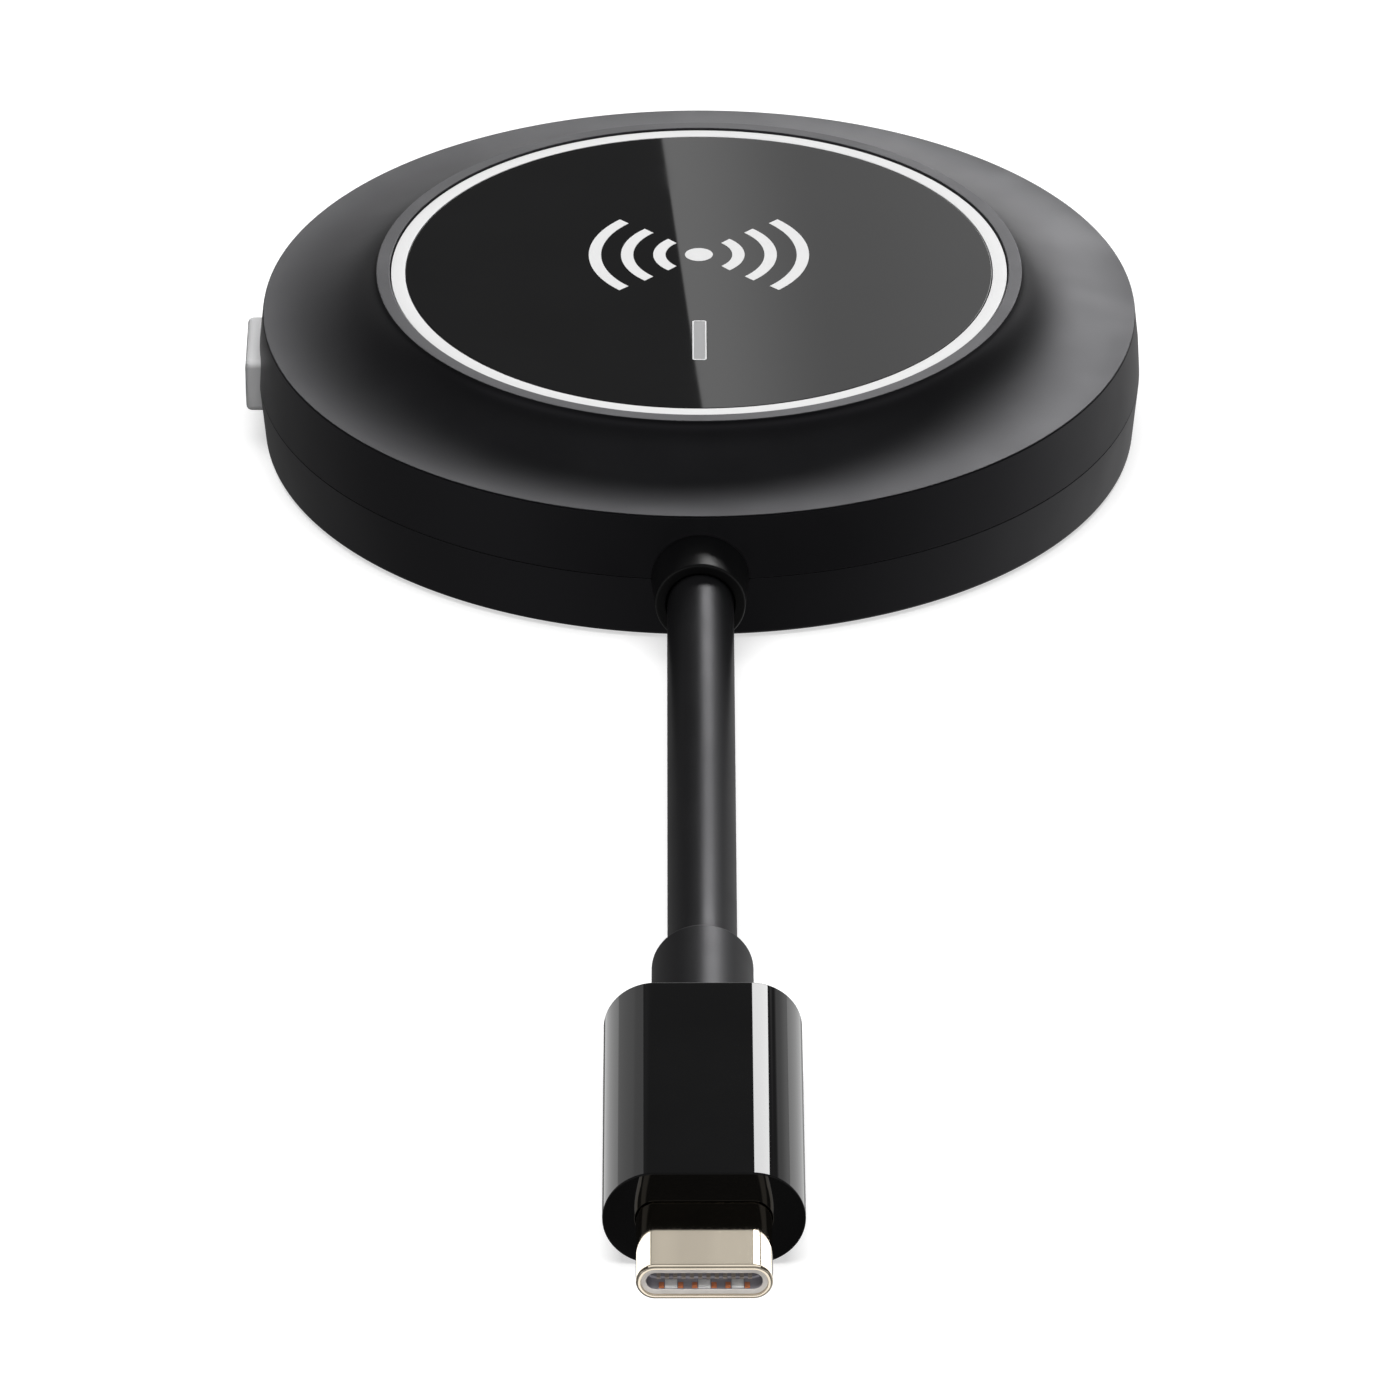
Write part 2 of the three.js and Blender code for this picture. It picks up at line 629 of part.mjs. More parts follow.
// Moulded sleeve: a plate trapped inside the wall, a neck through it and a short tapered boot outside.
function cableGland() {
  const plateDepth = GLAND_FLANGE.backY - GLAND_FLANGE.frontY;
  const plate = prism(roundedRect(GLAND_FLANGE.width, GLAND_FLANGE.height, 1), plateDepth, 3);
  const lathe = new THREE.LatheGeometry(
    [
      [0, 0],
      [GLAND.tipR - 0.5, 0],
      [GLAND.tipR - 0.15, 0.15],
      [GLAND.tipR, 0.5],
      [GLAND.rootR, GLAND.rootY - GLAND.tipY],
      [GLAND.neckR, GLAND.rootY - GLAND.tipY],
      [GLAND.neckR, GLAND_FLANGE.frontY - GLAND.tipY + 0.3],
      [0, GLAND_FLANGE.frontY - GLAND.tipY + 0.3],
    ].map(([r, y]) => new THREE.Vector2(r, y)),
    SMALL_TURN,
  );
  return geometryOf(
    joined(
      towardsMinusY(plate, GLAND_FLANGE.backY, SEAM_Z),
      lathe.translate(0, GLAND.tipY, SEAM_Z),
    ),
  );
}

add("cable_gland", cableGland(), cableSkin);

function cableJacket() {
  const curve = new THREE.CatmullRomCurve3(CORD_ROUTE.map(([y, z]) => new THREE.Vector3(0, y, z)));
  const section = new THREE.Shape().absarc(0, 0, CORD_R, 0, 2 * Math.PI);
  return new THREE.ExtrudeGeometry(section, { steps: 8, curveSegments: 10, extrudePath: curve });
}

add("cable_jacket", cableJacket(), cableSkin);

// ---------------------------------------------------------------- plug

function plugPrism(width, height, startY, endY, bevel = 0) {
  const body = prism(stadium(width, height), startY - endY, 5, bevel);
  return towardsMinusY(body, startY, PLUG.z);
}

function plugHousing() {
  const inner = [PLUG.width - 2 * PLUG.wall, PLUG.height - 2 * PLUG.wall];
  const outside = plugPrism(PLUG.width, PLUG.height, PLUG.backY, PLUG.frontY, 0.2);
  const hollow = plugPrism(...inner, PLUG.backY + 1, PLUG.frontY + 1.3);
  const mouth = plugPrism(USB.width + 0.4, USB.height + 0.4, PLUG.frontY + 3, PLUG.frontY - 1);
  return cut(solid(outside), hollow, mouth);
}

function plugCollar() {
  const gap = 0.3;
  const width = PLUG.width - 2 * PLUG.wall - 2 * gap;
  const height = PLUG.height - 2 * PLUG.wall - 2 * gap;
  const length = COLLAR.startY - PLUG.backY;
  const sleeve = new THREE.LatheGeometry(
    [
      [0, -0.2],
      [COLLAR.r, -0.2],
      [COLLAR.r, length - 1.2],
      [COLLAR.r - 0.25, length - 0.4],
      [COLLAR.r - 0.8, length],
      [0, length],
    ].map(([r, y]) => new THREE.Vector2(r, y)),
    SMALL_TURN,
  );
  const insert = plugPrism(width, height, PLUG.backY + 0.1, COLLAR.insertY);
  return geometryOf(
    joined(sleeve.translate(0, PLUG.backY + 0.2, PLUG.z), insert),
  );
}

function usbShell() {
  const inner = [USB.width - 2 * USB.wall, USB.height - 2 * USB.wall];
  const outside = plugPrism(USB.width, USB.height, USB.rootY, USB.tipY);
  return cut(solid(outside), plugPrism(...inner, USB.rootY + 1, USB.tipY - 1));
}

// Moulding inside the metal shell, with the slot that takes the socket's tongue.
function usbInsulator() {
  const { gap, frontY, slotX, slotZ, passageZ, passageY } = MOULDING;
  const width = USB.width - 2 * (USB.wall + gap);
  const height = USB.height - 2 * (USB.wall + gap);
  const outer = plugPrism(width, height, USB.rootY, frontY);
  const open = USB.tipY - 1;
  const slot = block([-slotX, open, PLUG.z - slotZ], [slotX, CONTACT_STRIP.backY, PLUG.z + slotZ]);
  const passage = block([-slotX, open, PLUG.z - passageZ], [slotX, passageY, PLUG.z + passageZ]);
  return cut(solid(outer), slot, passage);
}

// One row of spring contacts on a common strip.
function contactRow(side) {
  const spread = (CONTACTS.count - 1) / 2;
  const outerZ = PLUG.z + side * MOULDING.slotZ;
  const innerZ = outerZ - side * CONTACTS.thickness;
  const low = Math.min(outerZ, innerZ);
  const high = Math.max(outerZ, innerZ);
  const { halfWidth, frontY, backY } = CONTACT_STRIP;
  const strip = block([-halfWidth, frontY, low], [halfWidth, backY, high]);
  const fingers = [];
  for (let i = 0; i < CONTACTS.count; i++) {
    const x = (i - spread) * CONTACTS.pitch;
    const half = CONTACTS.width / 2;
    fingers.push(block([x - half, CONTACTS.tipY, low], [x + half, frontY + 0.2, high]));
  }
  return geometryOf(joined(strip, ...fingers));
}

// A flat piece that lies in the plug, from one height to another.
function inPlug({ halfWidth, frontY, backY }, low, high) {
  return block([-halfWidth, frontY, low], [halfWidth, backY, high]);
}

const boardHalf = PLUG_BOARD.thickness / 2;

add("plug_collar", plugCollar(), cableSkin);
add("plug_housing", plugHousing(), glossPlug);
add("plug_board", inPlug(PLUG_BOARD, PLUG.z - boardHalf, PLUG.z + boardHalf), boardGreen);
add("plug_chip", inPlug(PLUG_CHIP, PLUG.z + boardHalf, PLUG.z + boardHalf + PLUG_CHIP.height), chipBlack);
add("usb_shell", usbShell(), goldShell);
add("usb_insulator", usbInsulator(), liner);
add("usb_contacts_upper", contactRow(1), goldContact);
add("usb_contacts_lower", contactRow(-1), goldContact);

export default part;
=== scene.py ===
import json
import math

import bmesh
import bpy
from mathutils import Matrix, Vector


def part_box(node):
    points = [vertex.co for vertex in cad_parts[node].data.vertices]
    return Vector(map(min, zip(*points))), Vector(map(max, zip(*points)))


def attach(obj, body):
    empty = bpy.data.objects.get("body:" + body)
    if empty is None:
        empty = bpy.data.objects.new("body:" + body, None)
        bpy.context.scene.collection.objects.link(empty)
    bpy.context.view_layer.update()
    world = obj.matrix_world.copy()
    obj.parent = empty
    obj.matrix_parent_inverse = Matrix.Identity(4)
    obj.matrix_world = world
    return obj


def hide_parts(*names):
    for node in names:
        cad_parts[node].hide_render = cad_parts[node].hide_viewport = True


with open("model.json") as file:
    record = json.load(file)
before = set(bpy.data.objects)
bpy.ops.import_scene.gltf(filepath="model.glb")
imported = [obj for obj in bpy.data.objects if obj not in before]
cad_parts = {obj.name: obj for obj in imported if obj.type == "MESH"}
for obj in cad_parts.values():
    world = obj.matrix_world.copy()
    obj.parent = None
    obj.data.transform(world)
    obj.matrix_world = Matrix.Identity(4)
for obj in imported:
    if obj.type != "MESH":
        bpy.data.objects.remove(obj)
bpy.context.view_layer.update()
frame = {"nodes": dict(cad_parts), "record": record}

# Round wireless streaming puck on a short captive USB-C cable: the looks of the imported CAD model.
# Lengths in this script are millimetres, and MM turns them into Blender's metres.
MM = 0.001
HOUSING = "housing"
BUTTON = "button"

scene = bpy.context.scene


# ------------------------------------------------------------------ places taken from the CAD frame

def span(node):
    """Lowest and highest corner of a CAD node, in millimetres."""
    low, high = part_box(node)
    return low / MM, high / MM


SHELL_LOW, SHELL_HIGH = span("upper_shell")
SEAM_R, SEAM_Z = SHELL_HIGH.x, SHELL_LOW.z
TOP_Z = SHELL_HIGH.z
BASE_Z = span("lower_shell")[0].z
FOOT_R, _, FOOT_TOP = span("foot_pad")[1]
PANEL_LOW, PANEL_HIGH = span("top_panel")
PANEL_R, PANEL_Z = PANEL_HIGH.x, PANEL_HIGH.z
WINDOW_LOW, WINDOW_HIGH = span("status_window")
BUTTON_FACE = span("side_button")[0].x
GLAND_FRONT = span("cable_gland")[0].y
COLLAR_BACK = span("plug_collar")[1].y
PLUG_LOW, PLUG_HIGH = span("plug_housing")
PLUG_Z = (PLUG_LOW.z + PLUG_HIGH.z) / 2
PLUG_HALF = (PLUG_HIGH.z - PLUG_LOW.z) / 2
PLUG_FLAT = (PLUG_HIGH.x - PLUG_LOW.x) / 2 - PLUG_HALF
USB_LOW, USB_HIGH = span("usb_shell")

RIM_R, RIM_Z = 29.72, 9.26
LIP_R = 22.0
BORE_R = 21.05
RING_IN, RING_OUT = 20.0, 20.97
BASE_R = 29.68
CASE_INSIDE_R = 28.4
GLAND_HOLE_R = 3.12
WALL_CUT = (-33.0, -26.0)  # from outside the wall to inside it
WINDOW_SIZE = (1.0, 5.7, 0.2)  # across, along, and the corner radius
PIPE_FLANGE_TOP = 10.32
SYMBOL_Y = 2.2
BUTTON_SIZE = (6.9, 3.95, 0.55)  # along the wall, upwards, and the corner radius
BUTTON_Y = 0.45
LINER_FRONT = USB_LOW.y + 0.16
CAVITY_HALF = 0.57


# ------------------------------------------------------------------ camera

CAMERA_LENS, CAMERA_SENSOR = 300.54, 36.0
CAMERA_PITCH, CAMERA_YAW = math.radians(29.66), math.radians(0.168)
CAMERA_TARGET = Vector((-0.043, -37.95, 0.0))
CAMERA_DISTANCE = 768.9


def make_camera():
    """A long-lens view, 29.7 degrees down, along the cable."""
    data = bpy.data.cameras.new("camera")
    data.lens = CAMERA_LENS
    data.sensor_width = CAMERA_SENSOR
    data.clip_start = 0.01
    data.clip_end = 50.0
    camera = bpy.data.objects.new("camera", data)
    scene.collection.objects.link(camera)
    forward = Vector((
        math.sin(CAMERA_YAW) * math.cos(CAMERA_PITCH),
        math.cos(CAMERA_YAW) * math.cos(CAMERA_PITCH),
        -math.sin(CAMERA_PITCH),
    ))
    camera.location = (CAMERA_TARGET - forward * CAMERA_DISTANCE) * MM
    camera.rotation_euler = forward.to_track_quat("-Z", "Y").to_euler()
    scene.camera = camera


make_camera()


# ------------------------------------------------------------------ mesh helpers

SHARP_EDGE = math.radians(32)


def rounded(corners, closed, steps=5):
    """Turns (x, y) or (x, y, radius) corners into points, with each radius as a smooth bend."""
    points = []
    count = len(corners)
    for i, corner in enumerate(corners):
        here = Vector(corner[:2])
        radius = corner[2] if len(corner) > 2 else 0.0
        if radius <= 0 or (not closed and i in (0, count - 1)):
            points.append(here)
            continue
        before = (Vector(corners[i - 1][:2]) - here).normalized()
        after = (Vector(corners[(i + 1) % count][:2]) - here).normalized()
        for k in range(steps + 1):
            t = k / steps
            start = here + before * radius * (1 - t) ** 2
            points.append(start + after * radius * t ** 2)
    return points


def circle(radius, count):
    return [
        (radius * math.cos(2 * math.pi * i / count), radius * math.sin(2 * math.pi * i / count))
        for i in range(count)
    ]


def stadium(half_height, count):
    """An outline with full round ends, at that half height round the plug's flat."""
    points = []
    for i in range(count):
        angle = 2 * math.pi * (i + 0.5) / count
        shift = PLUG_FLAT if math.cos(angle) > 0 else -PLUG_FLAT
        points.append((shift + half_height * math.cos(angle), half_height * math.sin(angle)))
    return points


def rounded_rect(width, height, radius, count):
    """A rectangle with round corners, as count points a quarter of which turn each corner."""
    points = []
    per_corner = count // 4
    centres = [(1, 1), (-1, 1), (-1, -1), (1, -1)]
    for k, (sx, sy) in enumerate(centres):
        for i in range(per_corner):
            angle = math.pi / 2 * (k + i / (per_corner - 1))
            x = sx * (width / 2 - radius) + radius * math.cos(angle)
            y = sy * (height / 2 - radius) + radius * math.sin(angle)
            points.append((x, y))
    return points


def along_z(u, v, w):
    return Vector((u, v, w))


def along_y(u, v, w, z):
    return Vector((u, w, v + z))


def shade_smooth(mesh):
    """Smooth shading that stays sharp at real edges."""
    for polygon in mesh.polygons:
        polygon.use_smooth = True
    mesh.set_sharp_from_angle(angle=SHARP_EDGE)


def finish_mesh(name, bm):
    """Makes the object from a bmesh in millimetres, with its faces outward."""
    bmesh.ops.remove_doubles(bm, verts=bm.verts, dist=1e-5)
    bmesh.ops.recalc_face_normals(bm, faces=bm.faces)
    mesh = bpy.data.meshes.new(name)
    bm.to_mesh(mesh)
    bm.free()
    mesh.transform(Matrix.Scale(MM, 4))
    shade_smooth(mesh)
    piece = bpy.data.objects.new(name, mesh)
    scene.collection.objects.link(piece)
    return piece


def swept(name, section, outline, place, closed=False):
    """Sweeps a section of (offset, height) points round an outline that changes with the offset."""
    bm = bmesh.new()
    rings = []
    for offset, height in section:
        rings.append([bm.verts.new(place(u, v, height)) for u, v in outline(offset)])
    pairs = list(zip(rings, rings[1:]))
    if closed:
        pairs.append((rings[-1], rings[0]))
    for low, high in pairs:
        for i in range(len(low)):
            j = (i + 1) % len(low)
            bm.faces.new((low[i], low[j], high[j], high[i]))
    for ring in (rings[0], rings[-1]):
        pole = (ring[0].co - ring[len(ring) // 2].co).length < 1e-6
        if not closed and not pole:
            bm.faces.new(ring)
    return finish_mesh(name, bm)


def turned(name, corners, closed=False, steps=5):
    """A body of revolution about Z, from (radius, z) or (radius, z, bend) corners."""
    return swept(name, rounded(corners, closed, steps), lambda r: circle(r, 256), along_z, closed)


def cut_away(piece, *cutters):
    """Cuts the cutters out of the piece and deletes them."""
    for cutter in cutters:
        modifier = piece.modifiers.new("cut", "BOOLEAN")
        modifier.operation = "DIFFERENCE"
        modifier.solver = "EXACT"
        modifier.object = cutter
    bpy.context.view_layer.update()
    graph = bpy.context.evaluated_depsgraph_get()
    mesh = bpy.data.meshes.new_from_object(piece.evaluated_get(graph))
    piece.modifiers.clear()
    piece.data = mesh
    mesh.name = piece.name
    shade_smooth(mesh)
    for cutter in cutters:
        bpy.data.objects.remove(cutter)


# ------------------------------------------------------------------ materials

class Nodes:
    """Adds nodes to one material's tree, with object coordinates ready to use."""

    def __init__(self, name):
        self.name = name
        self.material = bpy.data.materials.new(name)
        self.material.use_nodes = True
        self.tree = self.material.node_tree
        self.shader = self.tree.nodes["Principled BSDF"]
        self.place = self.tree.nodes.new("ShaderNodeTexCoord").outputs["Object"]

    def add(self, kind, **settings):
        node = self.tree.nodes.new(kind)
        for key, value in settings.items():
            if key.startswith("in_"):
                node.inputs[key[3:].replace("_", " ")].default_value = value
            else:
                setattr(node, key, value)
        return node

    def link(self, source, target):
        self.tree.links.new(source, target)

    def noise(self, size_mm, detail):
        node = self.add("ShaderNodeTexNoise", in_Scale=1 / (size_mm * MM), in_Detail=detail)
        node.inputs["Roughness"].default_value = 0.55
        self.link(self.place, node.inputs["Vector"])
        return node.outputs["Fac"]

    def spread(self, source, low, high, start=0.3, end=0.7):
        node = self.add("ShaderNodeMapRange")
        node.inputs["From Min"].default_value = start
        node.inputs["From Max"].default_value = end
        node.inputs["To Min"].default_value = low
        node.inputs["To Max"].default_value = high
        self.link(source, node.inputs["Value"])
        return node.outputs["Result"]

    def mix(self, factor, first, second):
        node = self.add("ShaderNodeMix", data_type="RGBA")
        self.link(factor, node.inputs["Factor"])
        for value, socket in ((first, node.inputs[6]), (second, node.inputs[7])):
            if isinstance(value, tuple):
                socket.default_value = (*value, 1.0)
            else:
                self.link(value, socket)
        return node.outputs[2]

    def bump(self, height, depth_mm):
        node = self.add("ShaderNodeBump", in_Strength=1.0, in_Distance=depth_mm * MM)
        self.link(height, node.inputs["Height"])
        self.link(node.outputs["Normal"], self.shader.inputs["Normal"])

    def colour(self, source):
        self.link(source, self.shader.inputs["Base Color"])

    def roughness(self, source):
        self.link(source, self.shader.inputs["Roughness"])


def scaled(colour, factor):
    """The colour, that many times as bright."""
    return tuple(min(1.0, channel * factor) for channel in colour)


def plain_finish(
    name, colour, rough, *, drift=0.12, patch=6.0, grain=0.25, depth=0.004, metal=0.0, wear=0.0
):
    """A moulded or rolled finish: slow colour drift, a fine grain and, with wear, pale edges."""
    nodes = Nodes(name)
    nodes.shader.inputs["Metallic"].default_value = metal
    slow = nodes.noise(patch, 2.0)
    fine = nodes.noise(grain, 2.0)
    tint = nodes.mix(
        nodes.spread(slow, 0.0, 1.0), scaled(colour, 1 - drift), scaled(colour, 1 + drift)
    )
    if wear > 0:
        point = nodes.add("ShaderNodeNewGeometry").outputs["Pointiness"]
        edge = nodes.spread(point, 0.0, wear, 0.52, 0.62)
        tint = nodes.mix(edge, tint, scaled(colour, 4.0))
    nodes.colour(tint)
    nodes.roughness(nodes.spread(slow, rough * 0.93, rough * 1.07))
    nodes.bump(fine, depth)
    return nodes


def gloss_finish(name, colour, rough, haze):
    """A polished finish: near-black body, faint haze where it has been handled."""
    nodes = Nodes(name)
    slow = nodes.noise(9.0, 3.0)
    drift = nodes.spread(slow, 0.0, 1.0)
    nodes.colour(nodes.mix(drift, scaled(colour, 0.85), scaled(colour, 1.15)))
    nodes.roughness(nodes.spread(slow, rough, rough + haze, 0.45, 0.75))
    nodes.bump(nodes.noise(2.5, 1.0), 0.00002)
    return nodes


def metal_finish(name, colour, rough, streak_axis):
    """A drawn or rolled metal: fine streaks along one axis in the roughness and the relief."""
    nodes = Nodes(name)
    nodes.shader.inputs["Metallic"].default_value = 1.0
    stretch = nodes.add("ShaderNodeMapping")
    scale = [1.0, 1.0, 1.0]
    scale["XYZ".index(streak_axis)] = 0.04
    stretch.inputs["Scale"].default_value = scale
    nodes.link(nodes.place, stretch.inputs["Vector"])
    nodes.place = stretch.outputs["Vector"]
    streaks = nodes.noise(0.12, 2.0)
    drift = nodes.spread(nodes.noise(2.0, 1.0), 0.0, 1.0)
    nodes.colour(nodes.mix(drift, scaled(colour, 0.94), scaled(colour, 1.04)))
    nodes.roughness(nodes.spread(streaks, rough * 0.8, rough * 1.25))
    nodes.bump(streaks, 0.0004)
    return nodes


def board_finish():
    """Green solder mask with buried tracks and round copper pads."""
    nodes = Nodes("circuit_board")
    green, track, pad = (0.010, 0.085, 0.034), (0.016, 0.13, 0.05), (0.55, 0.42, 0.20)
    cells = nodes.add("ShaderNodeTexVoronoi", feature="F1", in_Scale=1 / (1.6 * MM))
    cells.distance = "MANHATTAN"
    nodes.link(nodes.place, cells.inputs["Vector"])
    tracks = nodes.spread(cells.outputs["Distance"], 0.0, 1.0, 0.42, 0.46)
    dots = nodes.add("ShaderNodeTexVoronoi", feature="F1", in_Scale=1 / (2.3 * MM))
    nodes.link(nodes.place, dots.inputs["Vector"])
    pads = nodes.spread(dots.outputs["Distance"], 1.0, 0.0, 0.12, 0.15)
    nodes.colour(nodes.mix(pads, nodes.mix(tracks, green, track), pad))
    nodes.roughness(nodes.spread(pads, 0.42, 0.25, 0.0, 1.0))
    nodes.bump(tracks, 0.01)
    return nodes


def liner_finish_with_painted_shade():
    """The plug's moulding: pale at its front face, with painted shade that turns it grey in the
    cavity behind it.
    """
    nodes = Nodes("plug_liner")
    split = nodes.add("ShaderNodeSeparateXYZ")
    nodes.link(nodes.place, split.inputs[0])
    front = LINER_FRONT * MM
    # painted shade: the colour turns from the pale front face to grey a little way into the cavity
    depth = nodes.spread(split.outputs["Y"], 0.0, 1.0, front + 0.03 * MM, front + 0.08 * MM)
    slow = nodes.spread(nodes.noise(1.2, 2.0), 0.0, 1.0)
    pale = nodes.mix(slow, (0.66, 0.62, 0.58), (0.76, 0.72, 0.68))
    painted_cavity_shade = nodes.mix(slow, (0.19, 0.18, 0.205), (0.27, 0.26, 0.285))
    nodes.colour(nodes.mix(depth, pale, painted_cavity_shade))
    nodes.roughness(nodes.spread(slow, 0.35, 0.5, 0.0, 1.0))
    nodes.bump(nodes.noise(0.15, 2.0), 0.002)
    return nodes


def make_materials():
    black = (0.0048, 0.0048, 0.0052)
    finishes = [
        plain_finish("shell_plastic", black, 0.40, grain=0.16, depth=0.0016, wear=0.12),
        plain_finish("inner_plastic", (0.010, 0.010, 0.011), 0.55),
        plain_finish("foot_rubber", (0.010, 0.010, 0.010), 0.8, grain=0.5, depth=0.03),
        plain_finish("light_diffuser", (0.63,) * 3, 0.45, drift=0.02, grain=0.2, depth=0.001),
        plain_finish("window_lens", (0.25, 0.25, 0.255), 0.35, drift=0.05, grain=0.15, depth=0.002),
        # the lens's edge: the lens's own grey, painted paler as a highlight where its raised rim
        # catches light
        plain_finish("window_edge_painted_highlight", (0.68, 0.68, 0.685), 0.35, drift=0.05, grain=0.15, depth=0.002),
        plain_finish("button_plastic", (0.50, 0.50, 0.505), 0.42, drift=0.04, grain=0.2, depth=0.002),
        plain_finish("cable_skin", (0.0050, 0.0050, 0.0054), 0.37, grain=0.3, depth=0.002),
        plain_finish("gland_gloss", (0.0022, 0.0022, 0.0024), 0.37, grain=0.3, depth=0.001),
        gloss_finish("gloss_panel", (0.0035, 0.0035, 0.0038), 0.008, 0.006),
        gloss_finish("plug_gloss", (0.0042, 0.0042, 0.0044), 0.02, 0.02),
        metal_finish("plug_metal", (0.82, 0.73, 0.59), 0.06, "Y"),
        # contact_gold: gold-plated contacts, greyed and dulled as painted shade from deep in the
        # plug's mouth
        plain_finish("contact_gold", (0.42, 0.36, 0.31), 0.45, patch=0.5, metal=0.4),
        plain_finish("spring_steel", (0.80, 0.80, 0.79), 0.35, patch=0.5, metal=0.3),
        plain_finish("contact_copper", (0.62, 0.20, 0.08), 0.35, patch=0.4, metal=0.3),
        metal_finish("plated_steel", (0.55, 0.56, 0.57), 0.3, "X"),
        metal_finish("screw_steel", (0.42, 0.43, 0.44), 0.3, "Z"),
        metal_finish("spreader_aluminium", (0.60, 0.61, 0.62), 0.35, "X"),
        liner_finish_with_painted_shade(),
        plain_finish("chip_package", (0.011, 0.011, 0.012), 0.5, grain=0.12, depth=0.006),
        plain_finish("led_package", (0.80, 0.77, 0.62), 0.4, drift=0.05),
        plain_finish("gap_pad", (0.20, 0.27, 0.38), 0.85, grain=0.4, depth=0.02),
        plain_finish("connector_plastic", (0.72, 0.66, 0.54), 0.45, drift=0.06),
        plain_finish("capacitor_ceramic", (0.40, 0.28, 0.16), 0.5, drift=0.15, patch=0.8),
        plain_finish("panel_print", (0.62,) * 3, 0.45, drift=0.03, grain=0.1, depth=0.001),
        board_finish(),
    ]
    leads = {
        "red": (0.33, 0.012, 0.012),
        "green": (0.012, 0.19, 0.04),
        "white": (0.74, 0.74, 0.74),
        "black": (0.010, 0.010, 0.010),
    }
    for name, colour in leads.items():
        finishes.append(plain_finish(f"lead_{name}", colour, 0.4, drift=0.08, patch=1.0))
    made = {nodes.name: nodes for nodes in finishes}
    made["cable_skin"].shader.inputs["Specular IOR Level"].default_value = 0.3
    for name in ("shell_plastic", "cable_skin"):
        made[name].shader.inputs["Specular Tint"].default_value = (0.92, 0.905, 1.0, 1.0)
    return {name: nodes.material for name, nodes in made.items()}


MATERIALS = make_materials()


def dress(piece, slot, body=HOUSING, replaces=(), finish=None):
    """Gives a new piece its material, its body and the CAD nodes that it stands for."""
    piece.data.materials.clear()
    piece.data.materials.append(MATERIALS[finish or slot])
    if piece.type == "MESH":
        flat_faces = piece.modifiers.new("flat_faces", "WEIGHTED_NORMAL")
        flat_faces.keep_sharp = True
        flat_faces.weight = 100
    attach(piece, body)
    if replaces:
        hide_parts(*replaces)
    return piece


# ------------------------------------------------------------------ cable

CORD_R = 2.2
CORD_ROUTE = [  # (y, z) of the centre line
    (-33.75, 4.68),
    (-36.5, 4.68),
    (-39.5, 4.66),
    (-42.5, 4.6),
    (-45.5, 4.5),
    (-48.5, 4.37),
    (-51.5, 4.21),
    (-54.5, 4.04),
    (-57.5, 3.87),
    (-60.5, 3.71),
    (-63.5, 3.57),
    (-66.5, 3.45),
    (-69.5, 3.36),
    (-72.5, 3.3),
    (-75.0, 3.26),
    (-77.4, 3.25),
]


def make_cable():
    """The jacket: one smooth open spline from inside the gland's mouth to inside the collar."""
    into_gland, into_collar = 0.8, 0.6
    start = (GLAND_FRONT + into_gland, SEAM_Z)
    end = (COLLAR_BACK - into_collar, PLUG_Z)
    route = [start, *CORD_ROUTE, end]
    curve = bpy.data.curves.new("cable", "CURVE")
    curve.dimensions = "3D"
    spline = curve.splines.new("NURBS")
    spline.points.add(len(route) - 1)
    for point, (y, z) in zip(spline.points, route):
        point.co = (0.0, y * MM, z * MM, 1.0)
    spline.order_u = 4
    spline.use_endpoint_u = True
    spline.resolution_u = 8
    curve.bevel_depth = CORD_R * MM
    curve.bevel_resolution = 14
    curve.use_fill_caps = True
    cable = bpy.data.objects.new("cable", curve)
    scene.collection.objects.link(cable)
    return dress(cable, "cable_skin", replaces=["cable_jacket"])


cable = make_cable()


# ------------------------------------------------------------------ casing

def cove(steps=40):
    """The hollow sweep from the rim, where it is level, up to the lip, where it is upright."""
    across, rise = RIM_R - LIP_R, TOP_Z - RIM_Z
    points = []
    for i in range(1, steps):
        angle = math.pi / 2 * i / steps
        points.append((RIM_R - across * math.sin(angle), TOP_Z - rise * math.cos(angle)))
    return points


def wall_cutters():
    """The button's slot and the cable's hole, which both shells share."""
    width, height, corner = BUTTON_SIZE
    gap = 0.1
    outside, inside = WALL_CUT
    slot = swept(
        "slot_cutter",
        [(0, outside), (1, outside), (1, inside), (0, inside)],
        lambda _: rounded_rect(width + 2 * gap, height + 2 * gap, corner + gap, 48),
        lambda u, v, w: Vector((w, u + BUTTON_Y, v + SEAM_Z)),
    )
    hole = swept(
        "hole_cutter",
        [(0, outside), (GLAND_HOLE_R, outside), (GLAND_HOLE_R, inside), (0, inside)],
        lambda r: circle(r, 96),
        lambda u, v, w: along_y(u, v, w, SEAM_Z),
    )
    return slot, hole


